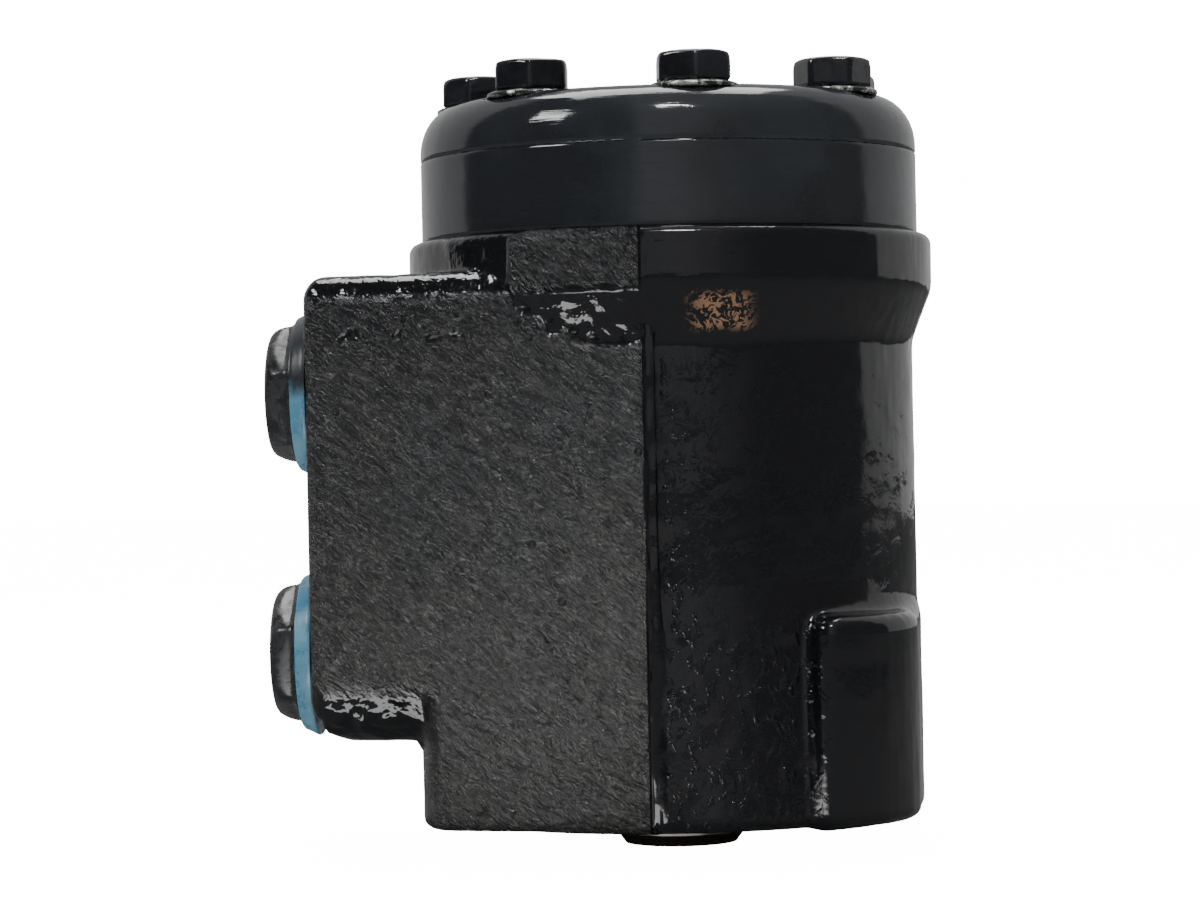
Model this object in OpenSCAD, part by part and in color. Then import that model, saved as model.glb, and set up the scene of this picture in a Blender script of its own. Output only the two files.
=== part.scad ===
// Hydrostatic steering control unit: a rotary spool valve in a cast housing, with an orbital
// metering gear set under an end cover. Millimetres. The origin is the centre of the mounting
// face, on the input shaft's axis. +Z runs up the shaft to the end cover, and the ports face -X.

/* [Housing] */
// Height of the casting from the mounting face to the metering set
housing_h = 119.5; // [118:0.5:122]
// Radius of the barrel
barrel_r = 50.5; // [50:0.1:51]
// Radius of the top flange
flange_r = 54.7; // [54:0.1:56]
// Half width of the square mounting flange
foot_half = 50; // [49:0.25:50.5]
// Height of the square mounting flange
foot_h = 42; // [38:1:46]

/* [Port block] */
// Distance of the port face from the shaft axis
port_face_x = 73; // [72:0.5:75]
// Underside of the port block
block_z0 = 17.5; // [16:0.5:20]
// Top of the port block
block_z1 = 112; // [110:0.5:112]
// Angle by which each side face leans in towards the port face
side_lean = 11.5; // [10:0.5:13]
// Distance of each port column from the middle plane
port_y = 17.5; // [17:0.1:18]
// Height of the lower ports
port_low_z = 35; // [34:0.5:36]
// Height of the upper ports
port_high_z = 88.5; // [87:0.5:90]
// Radius of the port thread
port_r = 10.48; // [10.4:0.01:10.5]

/* [Metering set] */
// Thickness of the distributor plate
plate_t = 4.5; // [4:0.1:5]
// Width of the gear ring
ring_w = 12.4; // [12:0.1:13]
// Thickness of the end cover
cover_t = 11.6; // [11:0.1:12]
// Outer radius of the metering set
set_r = 52; // [51.5:0.1:52.5]
// Radius on which the ring's seven lobes lie
lobe_pitch_r = 32.5; // [32:0.1:33]
// Radius of each ring lobe
lobe_r = 6; // [5.8:0.1:6.2]
// Eccentricity of the orbiting rotor
ecc = 3.1; // [3:0.05:3.2]

/* [Rotary valve] */
// Radius of the main bore
bore_r = 19; // [18.9:0.05:19.1]
// Outer radius of the spool
spool_r = 14; // [13.9:0.05:14.1]
// How far the input hub stands out of the mounting face
hub_out = 6.9; // [6:0.1:8]
// Height of the cross pin
pin_z = 58; // [55:1:62]
// Travel of the spool in the sleeve, each way, in degrees
deflection = 10; // [8:1:10]

/* [Fasteners] */
// Circle of the cover bolts
bolt_pcd = 79; // [78.5:0.1:79.5]
// Radius of the cover bolts
bolt_r = 4.76; // [4.5:0.01:4.8]
// Width across the flats of the bolt heads
bolt_af = 14.3; // [14:0.1:14.6]
// Circle of the mounting holes
mount_pcd = 82.55; // [82:0.05:83]
// Radius of the mounting holes
mount_hole_r = 5; // [4.7:0.05:5]

/* [Hidden] */
$fn = 96;
eps = 0.01;
run = 0.03;

// Levels of the stack, from the casting up
ring_z = housing_h + plate_t;
cover_z = ring_z + ring_w;
top_z = cover_z + cover_t;
seat_z = top_z - 0.8;
washer_t = 1.4;
head_h = 6.2;
bolt_low_z = 97;

// Casting
flange_z0 = 97.5;
flange_z1 = 108;
foot_corner_r = 28;
side_d = 50;
ridge_x = -2.4;
ridge_w = 2.8;
ridge_out = 51.6;
side_reach = ridge_x;
skirt_right = barrel_r + 1.1;
block_edge_r = 9;
block_low_r = 12;
block_top_r = 5;
block_corner_r = 3;
foot_left_x = 50.5;
foot_left_r = 8;
foot_right_x = 28;
foot_flat = 45;
flare_r = 53.2;
flare_z = 48;

// Cover bolts and lobes share seven angles
lobe_n = 7;
first_angle = -79.7;
bolt_angles = [for (k = [0:lobe_n - 1]) first_angle + k * 360 / lobe_n];
bolt_circle_r = bolt_pcd / 2;

// Rotor, on its orbit
rotor_play = 0.16;
rotor_teeth = lobe_n - 1;
rotor_points = 192;
orbit = [ecc * cos(first_angle), ecc * sin(first_angle)];
rotor_mid_z = ring_z + ring_w / 2;
tilt = atan(ecc / (rotor_mid_z - pin_z));

// Splines
spline_n = 12;
input_minor_r = 8.8;
input_major_r = 10.3;
input_spline_z = 18;
head_minor_r = 9.6;
head_major_r = 11.2;

// Seal and bearing stack at the input end
dust_z = 4;
seal_z0 = 5.2;
bearing_z = 10;
race_t = 2.2;
needle_r = 1;
needle_n = 24;
sleeve_z0 = bearing_z + 2 * race_t + 2 * needle_r;
sleeve_z1 = housing_h - 0.25;
inner_clear_r = spool_r + 0.4;

// Valve spring pack and cross pin
spring_z = 27;
spring_w = 6;
clip_z = sleeve_z0 + 3.6;
pin_r = 3.5;

// Port columns: pressure and left on -Y, tank and right on +Y
gallery_r = 4;
thread_depth = 15;
gallery_end_x = -14;

// Small valves in the port block
valve_x = 62;
valve_r = 5;
relief_x = 42;
relief_r = 5.5;
suction_r = 3;
shock_ball_r = 3.9;
check_ball_r = 4.5;
check_seat_r = 3.2;
check_bush_x0 = 58;
check_bush_x1 = 51;
check_ball_x = check_bush_x1 - sqrt(check_ball_r * check_ball_r - check_seat_r * check_seat_r) - 0.05;

// A round bar between two points
module bar(a, b, r) {
  v = b - a;
  translate(a)
    rotate([0, atan2(norm([v.x, v.y]), v.z), atan2(v.y, v.x)])
      cylinder(h = norm(v), r = r);
}

// A round hole or pin along X, from x0 to x1
module x_cyl(x0, x1, r, r2 = -1) {
  translate([x0, 0, 0]) rotate([0, 90, 0]) cylinder(h = x1 - x0, r1 = r, r2 = r2 < 0 ? r : r2);
}

// A tube along Z
module tube(z0, z1, ro, ri) {
  difference() {
    translate([0, 0, z0]) cylinder(h = z1 - z0, r = ro);
    translate([0, 0, z0 - 1]) cylinder(h = z1 - z0 + 2, r = ri);
  }
}

// Square tooth spaces of a spline, as an outline
module spline_spaces(r0, r1, w0, w1) {
  for (k = [0:spline_n - 1])
    rotate(k * 360 / spline_n)
      polygon([[r0 - 1, -w0 / 2], [r1, -w1 / 2], [r1, w1 / 2], [r0 - 1, w0 / 2]]);
}

// A hexagonal prism with the round chamfer of a turned bolt head on its top
module hex_head(af, h, chamfer) {
  across = af / cos(30);
  intersection() {
    cylinder(h = h, r = across / 2, $fn = 6);
    rotate_extrude()
      polygon([[0, 0], [across / 2, 0], [across / 2, h - chamfer * 0.62],
        [af / 2 + chamfer * 0.12, h - chamfer * 0.2], [af / 2 - chamfer * 0.6, h], [0, h]]);
  }
}

// An arc of points about a centre, from one angle to another
function arc(c, r, a0, a1, n = 8) =
  [for (k = [0:n]) let (t = a0 + (a1 - a0) * k / n) c + r * [cos(t), sin(t)]];

// Centre of a round corner that touches a face across X at x and a side face of the block
function corner_centre(x, r) =
  let (cx = x + r) [cx, (side_d - r + cx * sin(side_lean)) / cos(side_lean)];

// Outline between the two leaning side faces, closed by a face across X at x
module leaning_outline(x, r) {
  half = concat(arc(corner_centre(x, r), r, 180, 90 + side_lean),
    [[side_reach, (side_d + side_reach * sin(side_lean)) / cos(side_lean)]]);
  polygon(concat(half, [for (k = [len(half) - 1:-1:0]) [half[k].x, -half[k].y]]));
}

// Profile of the port block seen from the side: its port face has round top and bottom edges
module block_profile() {
  x0 = -port_face_x;
  translate([x0 + block_low_r, -1]) square([port_face_x, block_z1 + 1]);
  translate([x0, block_z0 + block_low_r])
    square([port_face_x, block_z1 - block_z0 - block_low_r - block_top_r]);
  translate([x0 + block_top_r, block_z1 - 2 * block_top_r])
    square([port_face_x, 2 * block_top_r]);
  translate([x0 + block_low_r, block_z0 + block_low_r]) circle(block_low_r);
  translate([x0 + block_top_r, block_z1 - block_top_r]) circle(block_top_r);
}

// Bar that takes the corner off a long edge of a leaning side face, at height z, from a
// distance along the face to past its end
module edge_cut(s, z, depth, slope, from) {
  reach = 110 - from;
  rotate(s * (90 + side_lean)) translate([side_d, s * (from + reach / 2), z])
    rotate([0, slope, 0]) cube([2 * depth, reach, 60], center = true);
}

// Half of the space below the port block, outside the mounting flange
module under_block(s) {
  n = 90 + side_lean;
  edge = arc(corner_centre(-foot_left_x, foot_left_r), foot_left_r, 180, n);
  outer = edge[len(edge) - 1] + 20 * [cos(n), sin(n)];
  points = concat([[-foot_left_x, -1]], edge, [outer, [-120, outer.y], [-120, -1]]);
  translate([0, 0, -1]) linear_extrude(block_z0 + 1)
    polygon([for (p = points) [p.x, s * p.y]]);
}

// Port block and, below it, the part of the mounting flange with leaning sides
module port_block() {
  difference() {
    intersection() {
      linear_extrude(block_z1) leaning_outline(-port_face_x, block_corner_r);
      rotate([90, 0, 0]) translate([0, 0, -barrel_r - 10])
        linear_extrude(2 * barrel_r + 20) block_profile();
    }
    for (s = [-1, 1]) {
      under_block(s);
      edge_cut(s, block_z0, block_edge_r * 0.4, 45, 42);
      edge_cut(s, block_z1, block_top_r * 0.4, -45, 8);
    }
  }
}

// A square outline with round corners
module round_square(half, r) {
  square([2 * half, 2 * (half - r)], center = true);
  square([2 * (half - r), 2 * half], center = true);
  for (x = [-1, 1], y = [-1, 1]) translate([x * (half - r), y * (half - r)]) circle(r);
}

// The two corner bosses of the mounting flange on the side away from the ports
module foot() {
  edge = 3;
  intersection() {
    linear_extrude(foot_h) round_square(foot_half, foot_corner_r);
    linear_extrude(foot_h)
      polygon([[foot_right_x, -foot_flat], [foot_half + 1, -foot_flat - 2.6],
        [foot_half + 1, foot_flat + 2.6], [foot_right_x, foot_flat]]);
    union() {
      translate([0, 0, -1]) cylinder(h = foot_h - edge + 1, r = 63);
      translate([0, 0, foot_h - edge - eps]) cylinder(h = edge + 1, r1 = 61, r2 = 55);
    }
  }
}

module barrel() {
  rotate_extrude($fn = 128)
    polygon([[0, 0], [barrel_r - 1, 0], [barrel_r, 1], [barrel_r, flange_z0], [flange_r, flange_z1],
      [flange_r, housing_h - 2.2], [flange_r - 0.7, housing_h - 0.7], [flange_r - 2.2, housing_h],
      [0, housing_h]]);
}

// The barrel grows wider towards the mounting face, on the side away from the ports
module skirt() {
  intersection() {
    rotate_extrude($fn = 128)
      polygon([[0, 0], [flare_r - 1, 0], [flare_r, 1.4], [barrel_r - 0.2, flare_z], [0, flare_z]]);
    translate([side_reach, -60, -1]) cube([skirt_right - side_reach, 120, flare_z + 2]);
  }
}

module parting_ridge() {
  for (s = [-1, 1])
    translate([ridge_x - ridge_w / 2, s > 0 ? 45 : -ridge_out, 1])
      cube([ridge_w, ridge_out - 45, flange_z0 + 2]);
}

// Everything that is bored out of the casting along its axis
module main_bore() {
  translate([0, 0, -1]) cylinder(h = housing_h + 2, r = inner_clear_r);
  translate([0, 0, -1]) cylinder(h = dust_z + 1, r = 17);
  translate([0, 0, seal_z0]) cylinder(h = bearing_z - seal_z0 + eps, r = 17.2);
  translate([0, 0, bearing_z]) cylinder(h = housing_h, r = bore_r);
  for (z = [31, 39, 84, 93]) translate([0, 0, z - 2.5]) cylinder(h = 5, r = bore_r + 3);
}

module mounting_holes() {
  for (k = [0:3]) rotate(45 + 90 * k) translate([mount_pcd / 2, 0, -1]) {
    cylinder(h = 17, r = mount_hole_r);
    translate([0, 0, 17 - eps]) cylinder(h = 2.6, r1 = mount_hole_r, r2 = 0.4);
  }
}

module bolt_holes_in_casting() {
  for (a = bolt_angles) rotate(a) translate([bolt_circle_r, 0, bolt_low_z - 3])
    cylinder(h = housing_h, r = bolt_r + run);
  for (k = [2, 4]) rotate(bolt_angles[k]) translate([bolt_circle_r, 0, bolt_low_z - 13])
    cylinder(h = 12, r = suction_r + 0.1);
}

module metering_passages() {
  for (a = bolt_angles) {
    b = a + 180 / lobe_n;
    bar([27 * cos(b), 27 * sin(b), housing_h + 1], [19 * cos(b), 19 * sin(b), 97], 2.2);
  }
}

// One tapped port with its gallery to a groove of the main bore
module port(y, z, dz) {
  translate([0, y, z]) {
    x_cyl(-port_face_x - 1, -port_face_x + thread_depth, port_r);
    translate([0, 0, dz]) x_cyl(-port_face_x + thread_depth - 1, gallery_end_x, gallery_r);
  }
}

module ports() {
  port(-port_y, port_low_z, 4);
  port(port_y, port_low_z, -4);
  port(-port_y, port_high_z, 4.5);
  port(port_y, port_high_z, -4.5);
  translate([0, -port_y, port_low_z]) x_cyl(-check_bush_x0 - 1, -40, 6.5);
}

// Vertical pockets of the relief valve and the two shock valves
module valve_pockets() {
  translate([-relief_x, 0, -1]) cylinder(h = 11, r = 7);
  translate([-relief_x, 0, 0]) cylinder(h = 48, r = relief_r);
  bar([-relief_x, 0, 46], [-relief_x, -port_y, 40], 2);
  translate([-valve_x, 0, block_z0 - 1]) cylinder(h = 36, r = valve_r);
  bar([-valve_x, 0, 52], [-valve_x, 0, 60], 2);
  bar([-valve_x, 0, 58], [-50, port_y, 84], 1.6);
  translate([-valve_x, 0, block_z1 - 35]) cylinder(h = 36, r = valve_r);
  bar([-valve_x, 0, 70], [-valve_x, 0, 78], 2);
  bar([-valve_x, 0, 71], [-50, -port_y, 93], 1.6);
}

module o_ring_groove(z) {
  translate([0, 0, z]) difference() {
    cylinder(h = 1.4, r = 48.7);
    translate([0, 0, -1]) cylinder(h = 4, r = 46.9);
  }
}

module housing() {
  color([0.05, 0.055, 0.06])
  difference() {
    union() {
      barrel();
      skirt();
      port_block();
      foot();
      parting_ridge();
    }
    main_bore();
    mounting_holes();
    bolt_holes_in_casting();
    metering_passages();
    ports();
    valve_pockets();
    o_ring_groove(housing_h - 1.4 + eps);
  }
}

module bolt_clearance(z0, z1) {
  for (a = bolt_angles) rotate(a) translate([bolt_circle_r, 0, z0])
    cylinder(h = z1 - z0, r = bolt_r + 0.3);
}

module distributor_plate() {
  color([0.08, 0.08, 0.09])
  difference() {
    translate([0, 0, housing_h]) cylinder(h = plate_t, r = set_r);
    translate([0, 0, housing_h - 1]) cylinder(h = plate_t + 2, r = 12);
    bolt_clearance(housing_h - 1, ring_z + 1);
    for (a = bolt_angles) rotate(a + 180 / lobe_n) translate([27.5, 0, housing_h - 1])
      cylinder(h = plate_t + 2, r = 2.4);
  }
}

module gear_ring() {
  root_r = lobe_pitch_r + 2 * ecc - lobe_r + 0.1;
  color([0.07, 0.075, 0.085])
  difference() {
    translate([0, 0, ring_z]) linear_extrude(ring_w) difference() {
      circle(set_r);
      difference() {
        circle(root_r);
        for (a = bolt_angles) rotate(a) translate([lobe_pitch_r, 0]) circle(lobe_r);
      }
    }
    bolt_clearance(ring_z - 1, cover_z + 1);
    o_ring_groove(ring_z - eps);
    o_ring_groove(cover_z - 1.4 + eps);
  }
}

// Cover: flat top, rounded shoulder, and a spot face under each washer
module end_cover() {
  shoulder_w = 8;
  shoulder_h = 10;
  steps = 10;
  outline = [for (k = [0:steps]) let (t = 90 * k / steps)
    [set_r - shoulder_w + shoulder_w * cos(t), top_z - shoulder_h + shoulder_h * sin(t)]];
  color([0.07, 0.075, 0.085])
  difference() {
    rotate_extrude($fn = 128)
      polygon(concat([[0, cover_z], [set_r - 0.5, cover_z], [set_r, cover_z + 0.5]], outline,
        [[0, top_z]]));
    for (a = bolt_angles) rotate(a) translate([bolt_circle_r, 0, 0]) {
      translate([0, 0, cover_z - 1]) cylinder(h = cover_t + 2, r = bolt_r + 0.3);
      translate([0, 0, seat_z]) cylinder(h = 5, r = 9.6);
    }
  }
}

// One bolt, standing on its washer; turn sets how its hexagon lies
module bolt(turn, low_z) {
  under_head = seat_z + washer_t;
  translate([0, 0, low_z]) cylinder(h = under_head - low_z, r = bolt_r);
  translate([0, 0, under_head]) rotate(turn) hex_head(bolt_af, head_h, 2.6);
}

module cover_bolts() {
  turns = [7, 24, 51, 8, 33, 18, 41];
  color([0.06, 0.06, 0.07])
  for (k = [1:lobe_n - 1])
    rotate(bolt_angles[k]) translate([bolt_circle_r, 0, 0])
      bolt(turns[k], bolt_low_z);
}

// The bolt that ends in a slim pin, which holds the emergency steering ball off
module check_pin_bolt() {
  color([0.06, 0.06, 0.07])
  rotate(bolt_angles[0]) translate([bolt_circle_r, 0, 0]) {
    bolt(-3, bolt_low_z);
    translate([0, 0, bolt_low_z - 2.5]) cylinder(h = 3, r = 2);
  }
}

module bolt_washers() {
  color([0.45, 0.45, 0.46])
  for (a = bolt_angles) rotate(a) translate([bolt_circle_r, 0, 0])
    translate([0, 0, seat_z]) rotate_extrude()
      polygon([[5, 0], [9.25, 0], [9.25, washer_t * 0.45], [8.2, washer_t], [5, washer_t]]);
}

// Screwed transport plug: threaded stem, collar and a low domed hexagon
module port_plug(y, z, turn) {
  hex_af = 25.6;
  x0 = -port_face_x;
  color([0.05, 0.05, 0.055])
  translate([x0, y, z]) rotate([0, -90, 0]) {
    difference() {
      union() {
        translate([0, 0, -12]) cylinder(h = 12.6, r = port_r - run);
        translate([0, 0, 0.6]) cylinder(h = 1, r = 12.4);
        translate([0, 0, 1.6]) cylinder(h = 2.4, r = 15);
        translate([0, 0, 4]) rotate(turn) hex_head(hex_af, 5.2, 4.2);
      }
      translate([0, 0, -13]) cylinder(h = 9, r = 7.6);
    }
  }
}

// Flared sealing ring squeezed between a plug and the port face
module port_seal(y, z) {
  color([0.16, 0.36, 0.44])
  translate([-port_face_x, y, z]) rotate([0, -90, 0])
    rotate_extrude()
      polygon([[12.5, 0], [17, 0], [17.1, 0.5], [16.4, 1.9], [15.9, 3.2], [15.3, 3.4],
        [15.1, 1.6], [12.5, 1.6]]);
}

module pressure_port_plug() { port_plug(-port_y, port_low_z, 22); }
module tank_port_plug() { port_plug(port_y, port_low_z, 5); }
module left_port_plug() { port_plug(-port_y, port_high_z, 16); }
module right_port_plug() { port_plug(port_y, port_high_z, 38); }
module pressure_port_seal() { port_seal(-port_y, port_low_z); }
module tank_port_seal() { port_seal(port_y, port_low_z); }
module left_port_seal() { port_seal(-port_y, port_high_z); }
module right_port_seal() { port_seal(port_y, port_high_z); }

// Inner valve spool, whose nose is the splined input hub
module spool() {
  inner_r = 10.4;
  slot_swing = 6.3;
  spool_z1 = housing_h - 0.3;
  color([0.62, 0.6, 0.58])
  difference() {
    rotate_extrude()
      polygon([[0, -hub_out], [11.75, -hub_out], [13.5, -hub_out + 2.4], [13.5, 0.4],
        [spool_r, 0.9], [spool_r, spool_z1], [0, spool_z1]]);
    translate([0, 0, input_spline_z]) cylinder(h = housing_h, r = inner_r);
    translate([0, 0, -hub_out - 1]) cylinder(h = 40, r = input_minor_r);
    translate([0, 0, -hub_out - 1]) linear_extrude(input_spline_z + hub_out + 1 + eps)
      spline_spaces(input_minor_r, input_major_r, 2.8, 2);
    translate([0, 0, -hub_out - eps]) cylinder(h = 1, r1 = 10.6, r2 = 9.6);
    translate([0, 0, pin_z]) x_cyl(-20, 20, slot_swing);
    translate([-20, -2.3, spring_z - spring_w / 2 - 0.1]) cube([40, 4.6, spring_w + 0.2]);
    for (k = [0:5]) rotate(30 + 60 * k) translate([spool_r, 0, 76]) cylinder(h = 30, r = 1.5);
    for (k = [0:11]) rotate(15 + 30 * k) translate([0, 0, 46]) x_cyl(9, 15, 1.2);
  }
}

// Outer valve sleeve, turned by the cross pin
module sleeve() {
  groove_z = [31, 39, 84, 93];
  color([0.6, 0.6, 0.62])
  difference() {
    tube(sleeve_z0, sleeve_z1, bore_r - run, spool_r + run);
    for (z = groove_z) difference() {
      translate([0, 0, z - 2]) cylinder(h = 4, r = bore_r + 1);
      translate([0, 0, z - 3]) cylinder(h = 6, r = bore_r - 1);
    }
    translate([0, 0, pin_z]) x_cyl(-20, 20, pin_r);
    translate([-20, -2.1, spring_z - spring_w / 2]) cube([40, 4.2, spring_w]);
    tube(clip_z - 0.05, clip_z + 2.05, bore_r + 1, bore_r - 1.05);
    for (k = [0:5], z = [46, 84, 93]) rotate(60 * k + z) translate([0, 0, z]) x_cyl(12, 20, 1.3);
    for (k = [0:13]) rotate(k * 180 / lobe_n) translate([0, 0, 104]) x_cyl(12, 20, 1.5);
  }
}

module cross_pin() {
  color([0.7, 0.7, 0.72]) translate([0, 0, pin_z]) x_cyl(-18.4, 18.4, pin_r);
}

// Two flat leaves between two pairs of arched ones
module centring_springs() {
  t = 0.5;
  arch_r = 120;
  color([0.35, 0.36, 0.4])
  translate([0, 0, spring_z - spring_w / 2]) {
    translate([-17.2, -t, 0]) cube([34.4, 2 * t, spring_w]);
    for (s = [0, 180], k = [0, 1]) rotate(s) intersection() {
      translate([0, arch_r + t + 0.02 + k * (t + 0.1), 0]) difference() {
        cylinder(h = spring_w, r = arch_r);
        translate([0, 0, -1]) cylinder(h = spring_w + 2, r = arch_r - t * 0.9);
      }
      translate([-8, 0, 0]) cube([16, 4, spring_w]);
    }
  }
}

module spring_retaining_ring() {
  color([0.3, 0.3, 0.32])
  rotate(20) difference() {
    tube(clip_z, clip_z + 2, bore_r - 0.1, bore_r - 1);
    translate([0, -1.5, 0]) cube([40, 3, 60]);
  }
}

// Cardan shaft: slotted over the cross pin, with a crowned spline in the rotor
module cardan_shaft() {
  head_half = 4;
  reach = norm([ecc, rotor_mid_z - pin_z]);
  color([0.55, 0.55, 0.57])
  translate([0, 0, pin_z])
    rotate([0, 0, first_angle]) rotate([0, tilt, 0]) rotate([0, 0, -first_angle])
      difference() {
        union() {
          translate([0, 0, -9]) cylinder(h = 14, r = 9.2);
          translate([0, 0, 4]) cylinder(h = 4, r1 = 9.2, r2 = 6.4);
          cylinder(h = reach, r = 6.4);
          translate([0, 0, reach - head_half - 2]) cylinder(h = 2.01, r1 = 6.4, r2 = 9.2);
          translate([0, 0, reach - head_half]) cylinder(h = 2 * head_half, r = 9.2);
          intersection() {
            translate([0, 0, reach - head_half]) linear_extrude(2 * head_half)
              spline_spaces(head_minor_r, head_major_r - 0.3, 2.5, 1.9);
            rotate_extrude()
              polygon([[0, reach - head_half], [10.2, reach - head_half],
                [head_major_r - 0.3, reach - 2], [head_major_r - 0.3, reach + 2],
                [10.2, reach + head_half], [0, reach + head_half]]);
          }
        }
        translate([-20, -pin_r - 0.05, -10]) cube([40, 2 * pin_r + 0.1, 14.2]);
      }
}

// Rotor outline: the ring's lobes roll round it, so it is an offset trochoid
function trochoid(t) = [lobe_pitch_r * cos(t) - ecc * cos(lobe_n * t),
  lobe_pitch_r * sin(t) - ecc * sin(lobe_n * t)];
function trochoid_slope(t) = [-lobe_pitch_r * sin(t) + ecc * lobe_n * sin(lobe_n * t),
  lobe_pitch_r * cos(t) - ecc * lobe_n * cos(lobe_n * t)];
function rotor_point(t) = let (s = trochoid_slope(t), q = (lobe_r + rotor_play) / norm(s))
  trochoid(t) + q * [-s.y, s.x];

module rotor() {
  color([0.5, 0.5, 0.52])
  translate([orbit.x, orbit.y, ring_z + run]) rotate(first_angle)
    linear_extrude(ring_w - 2 * run) difference() {
      polygon([for (k = [0:rotor_points - 1]) rotor_point(360 * k / rotor_points)]);
      circle(head_minor_r);
      rotate(-first_angle) spline_spaces(head_minor_r, head_major_r, 3.2, 2.5);
    }
}

module rotor_spacer() {
  color([0.45, 0.45, 0.47])
  translate([orbit.x, orbit.y, rotor_mid_z + 4.5])
    cylinder(h = cover_z - run - rotor_mid_z - 4.5, r = head_minor_r - 0.2);
}

module bearing_race_outer() {
  color([0.66, 0.66, 0.68]) tube(bearing_z, bearing_z + race_t, bore_r - run, inner_clear_r);
}

module bearing_race_inner() {
  z0 = bearing_z + race_t + 2 * needle_r;
  color([0.66, 0.66, 0.68]) tube(z0 + 0.02, sleeve_z0, bore_r - run, inner_clear_r);
}

module needle_cage() {
  mid = bearing_z + race_t + needle_r;
  color([0.5, 0.48, 0.42])
  difference() {
    tube(mid - 0.7, mid + 0.7, bore_r - 0.15, inner_clear_r + 0.1);
    for (k = [0:needle_n - 1]) rotate(k * 360 / needle_n)
      translate([15, -needle_r, mid - 2]) cube([3.4, 2 * needle_r, 4]);
  }
}

module bearing_needles() {
  color([0.72, 0.72, 0.74])
  for (k = [0:needle_n - 1]) rotate(k * 360 / needle_n)
    translate([0, 0, bearing_z + race_t + needle_r + 0.01]) x_cyl(15.05, 18.35, needle_r - 0.02);
}

module shaft_seal() {
  color([0.2, 0.12, 0.1])
  rotate_extrude()
    polygon([[spool_r + 0.04, seal_z0 + 0.5], [17.15, seal_z0 + 0.05], [17.15, bearing_z - 0.1],
      [15.2, bearing_z - 0.1], [15.2, bearing_z - 1.6], [spool_r + 0.04, bearing_z - 2.4]]);
}

module dust_seal() {
  color([0.09, 0.09, 0.09])
  rotate_extrude()
    polygon([[spool_r + 0.05, 1.4], [15, 0.6], [15.6, 0.2], [17, 0.2], [17, dust_z - 0.1],
      [14.9, dust_z - 0.1], [14.6, 2.4]]);
}

module o_ring(z) {
  color([0.08, 0.08, 0.08])
  translate([0, 0, z]) rotate_extrude() translate([47.8, 0]) circle(0.69, $fn = 32);
}

module housing_o_ring() { o_ring(housing_h - 0.7); }
module plate_o_ring() { o_ring(ring_z + 0.7); }
module cover_o_ring() { o_ring(cover_z - 0.7); }

module check_valve_bushing() {
  color([0.6, 0.6, 0.55])
  translate([0, -port_y, port_low_z]) difference() {
    x_cyl(-check_bush_x0, -check_bush_x1, 6.5 - run);
    x_cyl(-check_bush_x0 - 1, -check_bush_x1 + 1, check_seat_r);
  }
}

module check_ball() {
  color([0.75, 0.75, 0.77]) translate([-check_ball_x, -port_y, port_low_z]) sphere(check_ball_r);
}

module ball_stop() {
  color([0.6, 0.6, 0.6])
  translate([0, -port_y, port_low_z]) intersection() {
    x_cyl(-41.6, -40.1, 6.5 - run);
    translate([-50, -1.5, -10]) cube([20, 3, 20]);
  }
}

module socket_plug(r, h, af) {
  difference() {
    cylinder(h = h, r = r);
    translate([0, 0, -1]) cylinder(h = h * 0.6 + 1, r = af / 2 / cos(30), $fn = 6);
  }
}

module relief_valve_plug() {
  color([0.1, 0.1, 0.11]) translate([-relief_x, 0, 1]) socket_plug(7 - run, 8.5, 8);
}

module relief_adjust_screw() {
  color([0.5, 0.5, 0.5]) translate([-relief_x, 0, 10.5]) socket_plug(relief_r - run, 6, 6);
}

// A coil spring of round wire along Z, as a swept tube with six sides
module coil(r, wire, h, turns) {
  sides = 6;
  per_turn = 14;
  n = turns * per_turn;
  rise = h - 2 * wire;
  points = [for (k = [0:n]) let (a = 360 * k / per_turn, z = wire + rise * k / n)
    for (j = [0:sides - 1]) let (b = 360 * j / sides)
      [(r + wire * cos(b)) * cos(a), (r + wire * cos(b)) * sin(a), z + wire * sin(b)]];
  sides_faces = [for (k = [0:n - 1], j = [0:sides - 1]) let (i = (j + 1) % sides)
    [k * sides + j, (k + 1) * sides + j, (k + 1) * sides + i, k * sides + i]];
  first = [for (j = [0:sides - 1]) j];
  last = [for (j = [sides - 1:-1:0]) n * sides + j];
  polyhedron(points, concat(sides_faces, [first, last]));
}

module relief_spring() {
  color([0.5, 0.5, 0.5]) translate([-relief_x, 0, 16.6]) coil(4, 0.7, 17.3, 6);
}

module relief_poppet() {
  color([0.7, 0.7, 0.7])
  translate([-relief_x, 0, 34]) rotate_extrude()
    polygon([[0, 0], [5.3, 0], [5.3, 4], [3.4, 5], [2.2, 8.4], [0, 8.9]]);
}

module relief_valve_seat() {
  color([0.55, 0.55, 0.55])
  translate([-relief_x, 0, 40.6]) difference() {
    cylinder(h = 5, r = relief_r - run);
    translate([0, 0, -1]) cylinder(h = 7, r = 2.4);
    translate([0, 0, -0.1]) cylinder(h = 2.1, r1 = 3.6, r2 = 2.4);
  }
}

// Shock valves: a plug, a spring and a ball on a seat in the block
module shock_plug_left() {
  color([0.1, 0.1, 0.11])
  translate([-valve_x, 0, block_z1 - 0.5]) mirror([0, 0, 1]) socket_plug(valve_r - run, 8, 6);
}

module shock_spring_left() {
  color([0.5, 0.5, 0.5]) translate([-valve_x, 0, block_z1 - 28.7]) coil(3, 0.6, 20.1, 6);
}

module shock_ball_left() {
  color([0.75, 0.75, 0.77]) translate([-valve_x, 0, block_z1 - 31.6]) sphere(shock_ball_r);
}

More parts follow.
